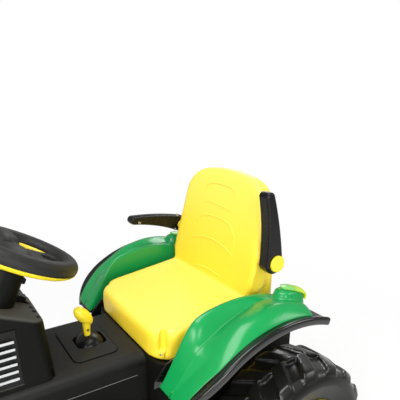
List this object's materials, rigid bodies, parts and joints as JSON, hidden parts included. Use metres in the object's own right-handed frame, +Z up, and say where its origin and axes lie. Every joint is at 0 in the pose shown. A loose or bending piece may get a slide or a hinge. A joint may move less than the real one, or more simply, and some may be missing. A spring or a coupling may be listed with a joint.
{
  "type": "ride-on tractor toy",
  "caption": "Ride-on toy tractor with a high-backed seat, swinging armrests, geared shifter, steered front wheels, lugged rear wheels and a tipping hood.",
  "frame": {"origin": "centre of the bounding box at ground level, where the wheels stand", "axes": "+X to the rider's left, the nose points along -Y, +Z up"},
  "size_m": [0.65, 1.04, 0.6629],
  "materials": {
    "body_black": "fine grain",
    "trim_black": "satin",
    "body_green": "gloss",
    "seat_yellow": "satin",
    "trim_yellow": "gloss",
    "tyre_black": "moulded matte",
    "hub_yellow": "gloss",
    "steel": "zinc plated",
    "slat_silver": "silver",
    "lens_amber": "clear gloss",
    "lamp_clear": "clear gloss",
    "grey_plastic": "matte"
  },
  "bodies": {
    "chassis": {"chassis_tub": "body_black", "console_cover": "body_black", "seat_deck": "body_black", "shift_gate": "body_black", "shift_switch": "grey_plastic", "dash_cowl": "body_black", "vent_panels": "trim_black", "vent_slats": "slat_silver", "column_cover": "body_black", "instrument_pod": "body_black", "rear_axle": "steel", "axle_nuts": "steel", "left_gearbox": "grey_plastic", "right_gearbox": "grey_plastic", "drive_motors": "grey_plastic", "front_axle_beam": "body_black", "left_mudguard": "body_black", "right_mudguard": "body_black", "left_fender": "body_green", "right_fender": "body_green", "tail_lenses": "lens_amber", "seat": "seat_yellow", "seat_screws": "steel", "armrest_pivots": "steel", "left_footboard": "body_black", "right_footboard": "body_black", "pedal_pin": "steel", "pedal_switch": "grey_plastic", "battery": "grey_plastic", "battery_strap": "grey_plastic", "front_weights": "body_black", "hitch_bar": "body_black"},
    "steering": {"steering_wheel": "trim_black", "steering_trim": "trim_yellow", "steering_pad": "trim_black", "steering_shaft": "steel"},
    "left_knuckle": {"left_stub_axle": "steel"},
    "right_knuckle": {"right_stub_axle": "steel"},
    "tie_rod": {"tie_rod": "steel"},
    "left_front_wheel": {"left_front_tyre": "tyre_black", "left_front_hub": "hub_yellow"},
    "right_front_wheel": {"right_front_tyre": "tyre_black", "right_front_hub": "hub_yellow"},
    "left_rear_wheel": {"left_rear_tyre": "tyre_black", "left_rear_hub": "hub_yellow"},
    "right_rear_wheel": {"right_rear_tyre": "tyre_black", "right_rear_hub": "hub_yellow"},
    "shifter": {"shift_drum": "body_black", "shift_knob": "trim_yellow"},
    "pedal": {"accelerator_pedal": "trim_black"},
    "left_arm": {"left_armrest": "trim_black", "left_armrest_cover": "trim_black", "left_armrest_cap": "trim_yellow"},
    "right_arm": {"right_armrest": "trim_black", "right_armrest_cover": "trim_black", "right_armrest_cap": "trim_yellow"},
    "hood": {"hood": "body_green", "front_grille": "body_black", "headlamps": "lamp_clear"}
  },
  "joints": [
    {"name": "steering_turn", "type": "hinge", "parent": "chassis", "child": "steering", "pos_m": [0, -0.097, 0.555], "axis": [0, 0.4493, 0.8934], "range_deg": [-25, 25]},
    {"name": "left_steer", "type": "hinge", "parent": "chassis", "child": "left_knuckle", "pos_m": [0.17, -0.29201, 0.15], "axis": [0, 0, 1], "range_deg": [-25, 25]},
    {"name": "right_steer", "type": "hinge", "parent": "chassis", "child": "right_knuckle", "pos_m": [-0.17, -0.29201, 0.15], "axis": [0, 0, 1], "range_deg": [-25, 25]},
    {"name": "tie_rod_swing", "type": "hinge", "parent": "left_knuckle", "child": "tie_rod", "pos_m": [0.17, -0.33301, 0.177], "axis": [0, 0, 1], "range_deg": [-25, 25]},
    {"name": "left_front_spin", "type": "hinge", "parent": "left_knuckle", "child": "left_front_wheel", "pos_m": [0.232, -0.29201, 0.115], "axis": [1, 0, 0], "continuous": true},
    {"name": "right_front_spin", "type": "hinge", "parent": "right_knuckle", "child": "right_front_wheel", "pos_m": [-0.232, -0.29201, 0.115], "axis": [1, 0, 0], "continuous": true},
    {"name": "left_rear_spin", "type": "hinge", "parent": "chassis", "child": "left_rear_wheel", "pos_m": [0.261, 0.33, 0.167], "axis": [1, 0, 0], "continuous": true},
    {"name": "right_rear_spin", "type": "hinge", "parent": "chassis", "child": "right_rear_wheel", "pos_m": [-0.261, 0.33, 0.167], "axis": [1, 0, 0], "continuous": true},
    {"name": "shift_swing", "type": "hinge", "parent": "chassis", "child": "shifter", "pos_m": [0, 0.018, 0.322], "axis": [1, 0, 0], "range_deg": [-24, 0]},
    {"name": "pedal_press", "type": "hinge", "parent": "chassis", "child": "pedal", "pos_m": [-0.182, -0.034, 0.17], "axis": [1, 0, 0], "range_deg": [0, 12], "stiffness_Nm_per_rad": 2},
    {"name": "left_arm_swing", "type": "hinge", "parent": "chassis", "child": "left_arm", "pos_m": [0.176, 0.34304, 0.501], "axis": [-1, 0, 0], "range_deg": [-70.4, 0]},
    {"name": "right_arm_swing", "type": "hinge", "parent": "chassis", "child": "right_arm", "pos_m": [-0.176, 0.34304, 0.501], "axis": [-1, 0, 0], "range_deg": [0, 70.4]},
    {"name": "hood_tip", "type": "hinge", "parent": "chassis", "child": "hood", "pos_m": [0, -0.492, 0.262], "axis": [1, 0, 0], "range_deg": [0, 60]}
  ],
  "couplings": [
    {"joint": "left_steer", "follows": "steering_turn", "ratio": 1},
    {"joint": "right_steer", "follows": "steering_turn", "ratio": 1},
    {"joint": "tie_rod_swing", "follows": "steering_turn", "ratio": -1}
  ]
}
